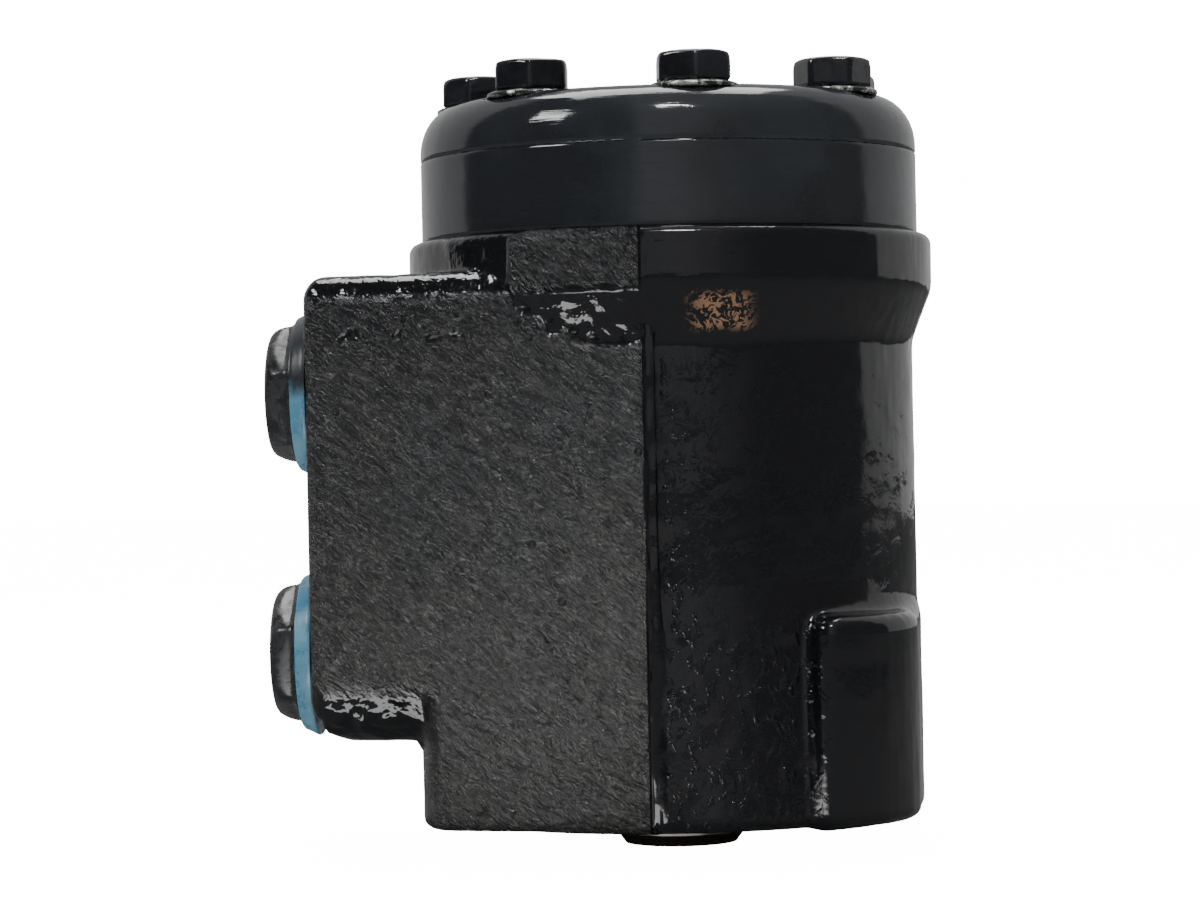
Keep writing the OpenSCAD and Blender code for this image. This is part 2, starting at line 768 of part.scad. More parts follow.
module shock_plug_right() {
  color([0.1, 0.1, 0.11]) translate([-valve_x, 0, block_z0 + 0.5]) socket_plug(valve_r - run, 8, 6);
}

module shock_spring_right() {
  color([0.5, 0.5, 0.5]) translate([-valve_x, 0, block_z0 + 8.6]) coil(3, 0.6, 20.1, 6);
}

module shock_ball_right() {
  color([0.75, 0.75, 0.77]) translate([-valve_x, 0, block_z0 + 31.6]) sphere(shock_ball_r);
}

// Suction valve balls, under two of the cover bolts
module suction_ball(k) {
  color([0.75, 0.75, 0.77])
  rotate(bolt_angles[k]) translate([bolt_circle_r, 0, bolt_low_z - 9.9]) sphere(suction_r);
}

module suction_ball_left() { suction_ball(2); }
module suction_ball_right() { suction_ball(4); }

housing();
distributor_plate();
gear_ring();
end_cover();
cover_bolts();
check_pin_bolt();
bolt_washers();
pressure_port_plug();
tank_port_plug();
left_port_plug();
right_port_plug();
pressure_port_seal();
tank_port_seal();
left_port_seal();
right_port_seal();
spool();
sleeve();
cross_pin();
centring_springs();
spring_retaining_ring();
cardan_shaft();
rotor();
rotor_spacer();
bearing_race_outer();
needle_cage();
bearing_needles();
bearing_race_inner();
shaft_seal();
dust_seal();
housing_o_ring();
plate_o_ring();
cover_o_ring();
check_valve_bushing();
check_ball();
ball_stop();
relief_valve_plug();
relief_adjust_screw();
relief_spring();
relief_poppet();
relief_valve_seat();
shock_plug_left();
shock_spring_left();
shock_ball_left();
shock_plug_right();
shock_spring_right();
shock_ball_right();
suction_ball_left();
suction_ball_right();
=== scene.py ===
"""Looks of a hydrostatic steering control unit: black gloss paint over a sand casting.

Lengths are millimetres in the shapes below, and metres once a mesh is made. The painted pieces
are drawn as distance fields, which give the fillets, paint lips and lumps of the real casting.
"""
import math

import bpy
import numpy as np
from mathutils import Matrix, Vector


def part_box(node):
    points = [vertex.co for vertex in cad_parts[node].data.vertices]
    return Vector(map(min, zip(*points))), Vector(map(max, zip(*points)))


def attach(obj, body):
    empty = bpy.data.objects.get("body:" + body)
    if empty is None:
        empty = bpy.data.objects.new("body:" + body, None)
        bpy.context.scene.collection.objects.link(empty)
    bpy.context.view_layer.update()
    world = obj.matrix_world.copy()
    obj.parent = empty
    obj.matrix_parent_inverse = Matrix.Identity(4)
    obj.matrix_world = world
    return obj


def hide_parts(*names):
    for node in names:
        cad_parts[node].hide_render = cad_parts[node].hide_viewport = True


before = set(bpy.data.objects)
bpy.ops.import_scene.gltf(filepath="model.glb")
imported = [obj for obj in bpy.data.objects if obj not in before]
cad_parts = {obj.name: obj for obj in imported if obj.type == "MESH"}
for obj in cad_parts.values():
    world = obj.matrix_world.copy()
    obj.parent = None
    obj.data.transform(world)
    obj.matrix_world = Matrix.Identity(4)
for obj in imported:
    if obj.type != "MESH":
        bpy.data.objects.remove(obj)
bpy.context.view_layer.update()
MM = 0.001

# ---------------------------------------------------------------------------------------------
# Driving dimensions, from the frame where a node's box gives them
# ---------------------------------------------------------------------------------------------


def node_box(node):
    """Lowest and highest corners of a CAD node, in millimetres."""
    lo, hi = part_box(node)
    return np.array(lo) / MM, np.array(hi) / MM


HOUSING_LO, HOUSING_HI = node_box("housing")
HOUSING_H = HOUSING_HI[2]
PORT_FACE_X = HOUSING_LO[0]
PLATE_LO, PLATE_HI = node_box("distributor_plate")
RING_LO, RING_HI = node_box("gear_ring")
COVER_LO, COVER_HI = node_box("end_cover")
SET_R = COVER_HI[0]
WASHER_LO, WASHER_HI = node_box("bolt_washers")
HUB_LOW = node_box("spool")[0][2]

BARREL_R = 50.5
FLANGE_R = 54.7
FLARE_R = 53.2
FLARE_Z = 48
CONE_Z0, CONE_Z1 = 97.5, 108
SIDE_LEAN = math.radians(11.5)
SIDE_D = 50.3
BLOCK_Z0, BLOCK_Z1 = 17.5, 112
FOOT_HALF, FOOT_CORNER_R, FOOT_H = 50, 28, 42
FOOT_LEFT_X, BOSS_X = -50.5, 28.8
RIDGE_X, RIDGE_HALF, RIDGE_OUT = -2.4, 1.3, 51.85
CAST_EDGE_R = 2.5
BLOCK_CORNER_R, BLOCK_TOP_R, BLOCK_LOW_R = 3, 5, 9.5
PORT_Y = 17.5
PORT_Z = {"pressure": 35, "tank": 35, "left": 88.5, "right": 88.5}
PORT_SIDE = {"pressure": -1, "left": -1, "tank": 1, "right": 1}
PLUG_TURN = {"pressure": 22, "tank": 5, "left": 16, "right": 38}
FLECKS_X = 12
LOBES = 7
FIRST_ANGLE = -79.7
BOLT_ANGLES = [math.radians(FIRST_ANGLE + k * 360 / LOBES) for k in range(LOBES)]
BOLT_TURNS = [-3, 24, 51, 8, 33, 18, 41]
BOLT_CIRCLE_R = 39.5
BOLT_R = 4.76
MOUNT_PCD, MOUNT_HOLE_R, MOUNT_DEPTH = 82.55, 5, 16.5
BORE_R = 19.06
# main bore, way out for the hub, dust seal pocket, shaft seal pocket: radius, lowest, highest
BORES = ((BORE_R, 10, 140), (14.4, -5, 12), (17, -5, 4), (17.2, 5.2, 10))
GALLERY_Z = (31, 39, 84, 93)
PORT_R, PORT_DEPTH, PASSAGE_R, PASSAGE_X = 10.6, 15, 4, -14
RELIEF_X, VALVE_X, VALVE_R, VALVE_DEPTH = -42, -62, 5.1, 35
METER_HOLE_R, METER_CIRCLE_R = 2.2, 27
BIG = 140


# ---------------------------------------------------------------------------------------------
# Distance fields
# ---------------------------------------------------------------------------------------------


def join(a, b, r=0.0):
    """Union of two fields, with a concave fillet of radius r."""
    if r == 0:
        return np.minimum(a, b)
    return np.maximum(np.minimum(a, b), r) - np.hypot(np.maximum(r - a, 0), np.maximum(r - b, 0))


def meet(a, b, r=0.0):
    """Intersection of two fields, with its edge rounded to radius r."""
    return -join(-a, -b, r)


def between(v, low, high):
    return np.maximum(low - v, v - high)


def bar(p, a, b, r):
    """Round bar with round ends between two points."""
    ax, ay, az = a
    d = np.subtract(b, a)
    length2 = float(d @ d)
    t = np.clip(((p[0] - ax) * d[0] + (p[1] - ay) * d[1] + (p[2] - az) * d[2]) / length2, 0, 1)
    return np.sqrt((p[0] - ax - t * d[0]) ** 2 + (p[1] - ay - t * d[1]) ** 2
                   + (p[2] - az - t * d[2]) ** 2) - r


def hole_z(p, x, y, r, low, high):
    return meet(np.hypot(p[0] - x, p[1] - y) - r, between(p[2], low, high))


def hole_x(p, y, z, r, low, high):
    return meet(np.hypot(p[1] - y, p[2] - z) - r, between(p[0], low, high))


def hexagon(x, y, half, r):
    """Hexagonal outline, half its width across the flats, with corners rounded to r."""
    a = np.abs(x)
    b = np.abs(0.5 * x + 0.8660254 * y)
    c = np.abs(0.5 * x - 0.8660254 * y)
    return meet(meet(a - half, b - half, r), c - half, r)


def smooth_step(v, low, high):
    t = np.clip((v - low) / (high - low), 0, 1)
    return t * t * (3 - 2 * t)


# ---------------------------------------------------------------------------------------------
# Repeatable noise
# ---------------------------------------------------------------------------------------------


def lattice(i, j, k, seed):
    """A repeatable number from -1 to 1 at each whole-number point."""
    h = (i * 73856093) ^ (j * 19349663) ^ (k * 83492791) ^ (seed * 2971215073)
    h = ((h ^ (h >> 13)) * 1274126177) & 0xFFFFFFFF
    h = ((h ^ (h >> 15)) * 2246822519) & 0xFFFFFFFF
    return ((h ^ (h >> 16)) & 0xFFFF) / 32767.5 - 1


def noise(x, y, z, size, seed):
    """Smooth noise from about -1 to 1, with lumps of the given size."""
    cell = [np.floor(v / size).astype(np.int64) for v in (x, y, z)]
    f = [v / size - c for v, c in zip((x, y, z), cell)]
    f = [t * t * (3 - 2 * t) for t in f]
    total = 0
    for n in range(8):
        pick = (n & 1, n >> 1 & 1, n >> 2)
        weight = 1
        for t, on in zip(f, pick):
            weight = weight * (t if on else 1 - t)
        total = total + weight * lattice(cell[0] + pick[0], cell[1] + pick[1], cell[2] + pick[2], seed)
    return total


def fractal(x, y, z, size, seed, levels=3):
    total = 0
    for n in range(levels):
        total = total + noise(x, y, z, size / 2 ** n, seed + n) / 2 ** n
    return total / 1.6


# ---------------------------------------------------------------------------------------------
# Meshes
# ---------------------------------------------------------------------------------------------

# grid steps, in millimetres
HOUSING_CELL, STACK_CELL, PLUG_CELL, BOLT_CELL = 0.85, 0.6, 0.45, 0.36


def gradient(field, p, h=0.02):
    """Unit direction in which a field grows, at each point."""
    g = []
    for axis in range(3):
        step = [h if axis == n else 0 for n in range(3)]
        ahead = field([v + s for v, s in zip(p, step)])
        behind = field([v - s for v, s in zip(p, step)])
        g.append(ahead - behind)
    g = np.stack(g, -1)
    return g / np.maximum(np.linalg.norm(g, axis=1, keepdims=True), 1e-9)


def sample(field, axes):
    """Field on a grid, one slice at a time to save memory."""
    y, z = np.meshgrid(axes[1], axes[2], indexing="ij")
    return np.stack([field([np.full_like(y, x), y, z]) for x in axes[0]])


def contour(field, lo, hi, step):
    """Points and quads of the surface where a field is 0, with its edges kept sharp."""
    axes = [np.arange(a - 1.63 * step, b + 2.2 * step, step) for a, b in zip(lo, hi)]
    origin = np.array([a[0] for a in axes])
    value = sample(field, axes)
    inside = value < 0
    shape = np.array(value.shape)
    stride = np.array([shape[1] * shape[2], shape[2], 1])
    flat = value.ravel()
    crossings, normals, cells, flips = [], [], [], []
    for axis in range(3):
        first = [slice(1, -1)] * 3
        first[axis] = slice(0, -1)
        second = list(first)
        second[axis] = slice(1, None)
        changed = np.argwhere(inside[tuple(first)] != inside[tuple(second)])
        low = changed + [0 if n == axis else 1 for n in range(3)]
        at = low @ stride
        v0, v1 = flat[at], flat[at + stride[axis]]
        base = origin + low * step
        t = v0 / (v0 - v1)
        t_low, t_high = np.zeros_like(t), np.ones_like(t)
        for _ in range(3):
            p = base.copy()
            p[:, axis] += t * step
            v = field(list(p.T))
            same = (v < 0) == (v0 < 0)
            t_low, v0 = np.where(same, t, t_low), np.where(same, v, v0)
            t_high, v1 = np.where(same, t_high, t), np.where(same, v1, v)
            t = t_low + (t_high - t_low) * v0 / np.where(v0 == v1, 1, v0 - v1)
        p = base.copy()
        p[:, axis] += t * step
        crossings.append(p)
        normals.append(gradient(field, list(p.T)))
        b, c = [n for n in range(3) if n != axis]
        corners = np.array([[-1, -1], [0, -1], [0, 0], [-1, 0]])
        around = np.repeat(low[:, None, :], 4, axis=1)
        around[:, :, b] += corners[:, 0]
        around[:, :, c] += corners[:, 1]
        cells.append(around @ stride)
        flips.append(inside[tuple(low.T)] == (axis == 1))
    cells, points, normals = np.concatenate(cells), np.concatenate(crossings), np.concatenate(normals)
    flips = np.concatenate(flips)
    ids, index = np.unique(cells, return_inverse=True)
    index = index.reshape(-1, 4)
    verts = solve_cells(ids, index, points, normals, origin, shape, step)
    quads = index.copy()
    quads[flips] = quads[flips][:, ::-1]
    return verts, quads


def solve_cells(ids, index, points, normals, origin, shape, step):
    """Place one vertex in each cell where the tangent planes of its crossings meet."""
    count = len(ids)
    which = index.ravel()
    p, n = np.repeat(points, 4, axis=0), np.repeat(normals, 4, axis=0)
    hits = np.bincount(which, minlength=count)
    mean = np.stack([np.bincount(which, p[:, a], count) for a in range(3)], -1) / hits[:, None]
    away = np.einsum("ij,ij->i", n, p - mean[which])
    matrix = np.empty((count, 3, 3))
    for a in range(3):
        for b in range(a, 3):
            matrix[:, a, b] = matrix[:, b, a] = np.bincount(which, n[:, a] * n[:, b], count)
    right = np.stack([np.bincount(which, n[:, a] * away, count) for a in range(3)], -1)
    matrix += 0.08 * np.eye(3)
    verts = mean + np.linalg.solve(matrix, right[:, :, None])[:, :, 0]
    cell = np.stack(np.unravel_index(ids, tuple(shape)), -1)
    low = origin + cell * step
    return np.clip(verts, low - 0.1 * step, low + 1.1 * step)


def make_object(name, verts, faces, material, smooth_angle=40):
    """Mesh object in the row frame from points in millimetres."""
    mesh = bpy.data.meshes.new(name)
    verts = np.asarray(verts, dtype=float) * MM
    faces = np.asarray(faces, dtype=np.int32)
    mesh.vertices.add(len(verts))
    mesh.vertices.foreach_set("co", verts.ravel())
    mesh.loops.add(faces.size)
    mesh.loops.foreach_set("vertex_index", faces.ravel())
    mesh.polygons.add(len(faces))
    mesh.polygons.foreach_set("loop_start", np.arange(0, faces.size, faces.shape[1], dtype=np.int32))
    mesh.update(calc_edges=True)
    mesh.validate()
    mesh.polygons.foreach_set("use_smooth", np.ones(len(mesh.polygons), dtype=bool))
    mesh.set_sharp_from_angle(angle=math.radians(smooth_angle))
    mesh.materials.append(material)
    obj = bpy.data.objects.new(name, mesh)
    bpy.context.scene.collection.objects.link(obj)
    return obj


def vertex_normals(verts, quads):
    cross = np.cross(verts[quads[:, 2]] - verts[quads[:, 0]], verts[quads[:, 3]] - verts[quads[:, 1]])
    total = np.zeros_like(verts)
    for corner in range(4):
        for axis in range(3):
            total[:, axis] += np.bincount(quads[:, corner], cross[:, axis], len(verts))
    return total / np.maximum(np.linalg.norm(total, axis=1, keepdims=True), 1e-9)


def lathe(profile, turns=128):
    """Points and quads of a closed profile of (radius, height), turned about Z."""
    profile = np.array(profile, dtype=float)
    n = len(profile)
    angle = np.arange(turns) * 2 * math.pi / turns
    verts = np.stack([np.outer(np.cos(angle), profile[:, 0]), np.outer(np.sin(angle), profile[:, 0]),
                      np.tile(profile[:, 1], (turns, 1))], -1).reshape(-1, 3)
    quads = []
    for t in range(turns):
        here, there = t * n, (t + 1) % turns * n
        quads += [[here + k, there + k, there + (k + 1) % n, here + (k + 1) % n] for k in range(n)]
    return verts, np.array(quads)


def merge(parts):
    """One set of points and faces out of several."""
    verts, faces, start = [], [], 0
    for v, f in parts:
        verts.append(v)
        faces.append(f + start)
        start += len(v)
    return np.concatenate(verts), np.concatenate(faces)


def onto_port(verts, name):
    """From a plug's own frame, +Z out of the port, to its port on the block."""
    x = PORT_FACE_X - verts[:, 2]
    y = PORT_SIDE[name] * PORT_Y + verts[:, 1]
    z = PORT_Z[name] + verts[:, 0]
    return np.stack([x, y, z], -1)


# ---------------------------------------------------------------------------------------------
# Materials
# ---------------------------------------------------------------------------------------------


class Material:
    """A node material. Each method adds nodes and returns the socket with their result."""

    def __init__(self, name):
        self.data = bpy.data.materials.new(name)
        self.data.use_nodes = True
        self.tree = self.data.node_tree
        self.tree.nodes.clear()
        out = self.tree.nodes.new("ShaderNodeOutputMaterial")
        self.shader = self.tree.nodes.new("ShaderNodeBsdfPrincipled")
        self.tree.links.new(self.shader.outputs[0], out.inputs["Surface"])
        coords = self.tree.nodes.new("ShaderNodeTexCoord")
        self.place = self.add("ShaderNodeVectorMath", "Vector", coords.outputs["Object"],
                              (1000, 1000, 1000), operation="MULTIPLY")
        self.x, self.y, self.z = self.split(self.place)

    def add(self, kind, output, *inputs, **settings):
        node = self.tree.nodes.new(kind)
        for key, value in settings.items():
            setattr(node, key, value)
        for socket, value in zip(node.inputs, inputs):
            self.put(socket, value)
        return node.outputs[output]

    def put(self, socket, value):
        if value is None:
            return
        if isinstance(value, bpy.types.NodeSocket):
            self.tree.links.new(value, socket)
        else:
            socket.default_value = value

    def split(self, vector):
        node = self.tree.nodes.new("ShaderNodeSeparateXYZ")
        self.put(node.inputs[0], vector)
        return node.outputs[0], node.outputs[1], node.outputs[2]

    def math(self, operation, a, b=None, c=None):
        return self.add("ShaderNodeMath", 0, a, b, c, operation=operation)

    def step(self, value, low, high, out_low=0.0, out_high=1.0):
        """Smooth change from one number to another as value goes from low to high."""
        node = self.tree.nodes.new("ShaderNodeMapRange")
        node.interpolation_type = "SMOOTHSTEP"
        for socket, number in zip(node.inputs, (value, low, high, out_low, out_high)):
            self.put(socket, number)
        return node.outputs[0]

    def turned(self, angle, scale):
        """Coordinates turned about Y by an angle in degrees, then scaled along their own axes."""
        turn = self.tree.nodes.new("ShaderNodeVectorRotate")
        turn.rotation_type = "Y_AXIS"
        self.put(turn.inputs["Vector"], self.place)
        turn.inputs["Angle"].default_value = math.radians(angle)
        return self.add("ShaderNodeVectorMath", "Vector", turn.outputs[0], scale, operation="MULTIPLY")

    def noise(self, scale, detail=2.0, rough=0.5, vector=None, twist=0.0):
        node = self.tree.nodes.new("ShaderNodeTexNoise")
        self.put(node.inputs["Vector"], self.place if vector is None else vector)
        node.inputs["Scale"].default_value = scale
        node.inputs["Detail"].default_value = detail
        node.inputs["Roughness"].default_value = rough
        node.inputs["Distortion"].default_value = twist
        return node.outputs[0]

    def cells(self, scale, vector=None):
        node = self.tree.nodes.new("ShaderNodeTexVoronoi")
        self.put(node.inputs["Vector"], self.place if vector is None else vector)
        node.inputs["Scale"].default_value = scale
        return node.outputs["Distance"]

    def mix(self, factor, a, b):
        node = self.tree.nodes.new("ShaderNodeMix")
        node.data_type = "RGBA"
        self.put(node.inputs["Factor"], factor)
        for socket, value in ((node.inputs[6], a), (node.inputs[7], b)):
            if isinstance(value, bpy.types.NodeSocket):
                self.put(socket, value)
            else:
                socket.default_value = (*value, 1)
        return node.outputs[2]

    def blend(self, factor, a, b):
        """Mix of two numbers."""
        return self.add("ShaderNodeMix", 0, factor, None, a, b)

    def colour(self, value):
        socket = self.shader.inputs["Base Color"]
        if isinstance(value, bpy.types.NodeSocket):
            self.put(socket, value)
        else:
            socket.default_value = (*value, 1)

    def set(self, **values):
        for key, value in values.items():
            self.put(self.shader.inputs[key.replace("_", " ")], value)

    def bump(self, *layers):
        """Bump from (height in mm as a socket) layers, added together."""
        total = layers[0]
        for layer in layers[1:]:
            total = self.math("ADD", total, layer)
        height = self.math("MULTIPLY", total, MM)
        node = self.tree.nodes.new("ShaderNodeBump")
        node.inputs["Strength"].default_value = 1.0
        node.inputs["Distance"].default_value = 1.0
        self.put(node.inputs["Height"], height)
        self.put(self.shader.inputs["Normal"], node.outputs[0])


def casting_paint():
    """Black gloss paint: streaked over the sand-cast sides, blotchy by the ridge, smooth elsewhere."""
    m = Material("casting_paint")
    away = m.math("ABSOLUTE", m.y)
    # the leaning side faces, left of the parting ridge
    side = m.math("MULTIPLY", m.step(m.x, RIDGE_X - 0.9, RIDGE_X - 1.6), m.step(away, 30, 34))
    # the flange where it stands out of the leaning face, and its conical underside
    lean = m.math("SUBTRACT", m.math("MULTIPLY", away, math.cos(SIDE_LEAN)),
                  m.math("MULTIPLY", m.x, math.sin(SIDE_LEAN)))
    proud = m.math("MULTIPLY", m.step(lean, SIDE_D + 0.15, SIDE_D + 0.5), m.step(m.z, 95, 97))
    cone = m.math("MULTIPLY", proud, m.step(m.z, 109, 106.5))
    low_edge = m.math("MULTIPLY", m.step(m.z, 31, 26), m.step(m.x, -46, -50))
    top_edge = m.math("MULTIPLY", m.step(m.z, 105.5, 108.5), m.step(lean, SIDE_D + 0.5, SIDE_D + 0.15))
    glossy = m.math("MAXIMUM", cone, m.math("MAXIMUM", low_edge, top_edge))
    sandy = m.math("MULTIPLY", side, m.math("SUBTRACT", 1.0, glossy))
    # streaks that run down and to the right
    streak = m.noise(1.0, 3, 0.55, m.turned(-32, (0.17, 0.5, 0.62)), 0.9)
    fine = m.noise(1.0, 3, 0.6, m.turned(-50, (0.5, 0.9, 1.9)), 0.3)
    swell = m.noise(0.16, 3, 0.55, None, 0.6)
    blotch = m.noise(0.05, 4, 0.55, None, 0.8)
    light = m.mix(m.step(blotch, 0.42, 0.58), (0.019, 0.018, 0.0155), (0.0135, 0.0145, 0.0155))
    tone = m.step(m.math("ADD", streak, m.math("MULTIPLY", fine, 0.5)), 0.62, 0.92)
    cast = m.mix(tone, (0.0065, 0.0072, 0.0082), light)
    # painted reflection: the streaked side colour gets lighter towards the bottom, standing in for the
    # pale floor mirrored there
    painted_floor_sheen = m.step(m.z, 78, 8, 0.0, 0.55)
    cast = m.mix(painted_floor_sheen, cast, (0.023, 0.022, 0.020))
    # painted shade: towards the top of the side face the streaked colour fades to gloss black, darker
    # there because of how light falls
    painted_top_shade = m.math("MULTIPLY", m.step(m.z, 106, 84), sandy)
    gloss_black = (0.0042, 0.0046, 0.0056)
    colour = m.mix(painted_top_shade, gloss_black, cast)
    # orange-brown flecks under the flange
    fleck_zone = m.math("MULTIPLY", m.step(m.x, FLECKS_X - 8, FLECKS_X - 3),
                        m.step(m.x, FLECKS_X + 8, FLECKS_X + 3))
    band = m.math("ABSOLUTE", m.math("SUBTRACT", m.z, 102.6))
    fleck_zone = m.math("MULTIPLY", fleck_zone, m.step(band, 4.6, 2.4))
    fleck_zone = m.math("MULTIPLY", fleck_zone, m.step(m.y, -40, -44))
    fleck_shape = m.step(m.noise(0.5, 2, 0.5, None, 2.2), 0.5, 0.54)
    colour = m.mix(m.math("MULTIPLY", fleck_zone, fleck_shape), colour, (0.17, 0.095, 0.055))
    m.colour(colour)
    rough_side = m.step(fine, 0.3, 0.7, 0.17, 0.30)
    rough_gloss = m.step(blotch, 0.35, 0.65, 0.05, 0.12)
    m.set(Roughness=m.blend(sandy, rough_gloss, rough_side), Specular_IOR_Level=0.6)
    side_height = m.math("MULTIPLY", m.math("ADD", m.math("MULTIPLY", streak, 1.7),
                                            m.math("MULTIPLY", fine, 0.5)), sandy)
    swell_height = m.math("MULTIPLY", swell, m.blend(side, 0.10, 0.7))
    pits = m.step(m.cells(0.17), 0.05, 0.17)
    pit_here = m.math("MULTIPLY", m.step(m.noise(0.06, 2, 0.5), 0.5, 0.6), sandy)
    pit_height = m.math("MULTIPLY", m.math("MULTIPLY", pits, pit_here), 0.7)
    # the barrel's orange peel, worst by the ridge and low down
    right = m.math("SUBTRACT", 1.0, side)
    near_ridge = m.math("MULTIPLY", m.step(m.x, 14, 1), m.step(away, 40, 44))
    near_ridge = m.math("MULTIPLY", near_ridge, m.step(m.z, 96, 90))
    low = m.math("MULTIPLY", m.step(m.z, 45, 38), m.step(m.x, 33, 24))
    worst = m.math("MULTIPLY", m.math("MAXIMUM", near_ridge, low), right)
    peel = m.noise(1.0, 3, 0.55, m.turned(0, (0.5, 0.5, 0.3)), 0.5)
    dabs = m.step(peel, 0.52, 0.66)
    off_ridge = m.math("ABSOLUTE", m.math("SUBTRACT", m.x, RIDGE_X))
    worst = m.math("MULTIPLY", worst, m.step(off_ridge, 1.8, 2.8))
    peel_height = m.math("MULTIPLY", dabs, m.math("MULTIPLY", worst, 0.18))
    skin_height = m.math("MULTIPLY", m.noise(0.9, 2, 0.5), m.blend(side, 0.012, 0.03))
    m.bump(side_height, swell_height, pit_height, peel_height, skin_height)
    return m.data


def turned_paint(name, base, rough, line=0.01):
    """Smooth gloss paint over turned metal, with faint lines round the part."""
    m = Material(name)
    lines = m.noise(1.1, 3, 0.6, m.turned(0, (0.03, 0.03, 1.0)))
    soft = m.noise(0.035, 3, 0.5)
    m.colour(m.mix(m.step(soft, 0.35, 0.65), base, tuple(c * 1.6 for c in base)))
    m.set(Roughness=m.step(soft, 0.3, 0.7, rough, rough * 1.7), Specular_IOR_Level=0.5)
    m.bump(m.math("MULTIPLY", lines, line * 6), m.math("MULTIPLY", m.noise(0.12, 2, 0.5), 0.12),
           m.math("MULTIPLY", m.noise(1.6, 2, 0.5), line))
    return m.data


def thick_paint(name, base, rough):
    """Thick gloss paint with sags, as on the screw heads."""
    m = Material(name)
    soft = m.noise(0.12, 3, 0.55)
    m.colour(m.mix(m.step(soft, 0.4, 0.6), base, tuple(c * 1.8 for c in base)))
    m.set(Roughness=m.step(soft, 0.35, 0.65, rough, rough * 2.2), Specular_IOR_Level=0.5)
    m.bump(m.math("MULTIPLY", m.noise(0.4, 3, 0.5), 0.12),
           m.math("MULTIPLY", m.noise(2.5, 2, 0.5), 0.01))
    return m.data


def moulded_plastic(name, base, rough):
    """Black nylon of the transport plugs: satin, with chafed and oversprayed patches."""
    m = Material(name)
    patch = m.noise(0.25, 4, 0.6, None, 0.5)
    m.colour(m.mix(m.step(patch, 0.42, 0.62), base, tuple(c * 1.9 for c in base)))
    m.set(Roughness=m.step(patch, 0.35, 0.65, rough, rough + 0.16), Specular_IOR_Level=0.5)
    m.bump(m.math("MULTIPLY", patch, 0.10), m.math("MULTIPLY", m.noise(3.0, 2, 0.5), 0.012))
    return m.data


def blue_ring(name):
    """Teal-blue flared ring, oversprayed black over the upper half of the upper ports."""
    m = Material(name)
    cloud = m.noise(0.16, 4, 0.6)
    blue = m.mix(m.step(cloud, 0.38, 0.66), (0.045, 0.15, 0.235), (0.10, 0.235, 0.32))
    high = m.math("ADD", m.z, m.math("MULTIPLY", cloud, 14.0))
    sprayed = m.math("MULTIPLY", m.step(high, 93, 98), m.step(m.z, 60, 62))
    m.colour(m.mix(sprayed, blue, (0.013, 0.016, 0.02)))
    m.set(Roughness=m.step(cloud, 0.3, 0.7, 0.22, 0.38), Specular_IOR_Level=0.5)
    m.bump(m.math("MULTIPLY", cloud, 0.06), m.math("MULTIPLY", m.noise(3.0, 2, 0.5), 0.008))
    return m.data


def bare_metal(name, base, rough, lines=0.02, stain=(0.25, 0.17, 0.12), stain_share=0.25):
    """Machined metal with turning marks and a little staining."""
    m = Material(name)
    rings = m.noise(1.4, 3, 0.6, m.turned(0, (0.05, 0.05, 1.0)))
    cloud = m.noise(0.11, 4, 0.6)
    m.colour(m.mix(m.step(cloud, 0.5, 0.75, 0.0, stain_share), base, stain))
    m.set(Metallic=1.0, Roughness=m.step(rings, 0.3, 0.7, rough, rough * 1.5))
    m.bump(m.math("MULTIPLY", rings, lines), m.math("MULTIPLY", m.noise(2.6, 2, 0.5), 0.006))
    return m.data


def painted_steel(name):
    """Washer steel with thin uneven paint that lets the metal show."""
    m = Material(name)
    cloud = m.noise(0.3, 4, 0.6, None, 0.6)
    bare = m.step(cloud, 0.5, 0.6)
    m.colour(m.mix(bare, (0.012, 0.014, 0.014), (0.42, 0.43, 0.38)))
    m.set(Metallic=bare, Roughness=m.step(cloud, 0.35, 0.65, 0.14, 0.34))
    m.bump(m.math("MULTIPLY", cloud, 0.08), m.math("MULTIPLY", m.noise(3, 2, 0.5), 0.01))
    return m.data


def rubber(name, base):
    m = Material(name)
    cloud = m.noise(0.6, 3, 0.6)
    m.colour(m.mix(cloud, base, tuple(c * 1.7 for c in base)))
    m.set(Roughness=m.step(cloud, 0.3, 0.7, 0.42, 0.62), Specular_IOR_Level=0.4)
    m.bump(m.math("MULTIPLY", m.noise(4, 2, 0.5), 0.01))
    return m.data


MATERIALS = {
    "casting_paint": casting_paint(),
    "machined_paint": turned_paint("machined_paint", (0.0105, 0.0118, 0.0135), 0.06),
    "plate_paint": turned_paint("plate_paint", (0.0105, 0.0118, 0.0135), 0.06),
    "bolt_paint": thick_paint("bolt_paint", (0.0065, 0.007, 0.0085), 0.07),
    "plug_plastic": moulded_plastic("plug_plastic", (0.010, 0.0105, 0.0115), 0.17),
    "ring_blue": blue_ring("ring_blue"),
    "washer_steel": painted_steel("washer_steel"),
    "hub_steel": bare_metal("hub_steel", (0.62, 0.55, 0.49), 0.2),
    "valve_steel": bare_metal("valve_steel", (0.56, 0.55, 0.54), 0.22, 0.01),
    "spring_steel": bare_metal("spring_steel", (0.32, 0.33, 0.37), 0.3, 0.01),
    "gear_steel": bare_metal("gear_steel", (0.5, 0.5, 0.51), 0.26, 0.02),
    "rubber_black": rubber("rubber_black", (0.012, 0.012, 0.012)),
    "seal_brown": rubber("seal_brown", (0.085, 0.045, 0.035)),
    "ball_steel": bare_metal("ball_steel", (0.75, 0.75, 0.77), 0.08, 0.0),
}


# ---------------------------------------------------------------------------------------------
# Housing
# ---------------------------------------------------------------------------------------------

PROFILE_Z = np.linspace(-10, 130, 1401)
_sharp = np.interp(PROFILE_Z, [CONE_Z0, CONE_Z1], [BARREL_R, FLANGE_R])
_window = np.hanning(61)
PROFILE_R = np.convolve(np.pad(_sharp, 30, mode="edge"), _window / _window.sum(), mode="valid")


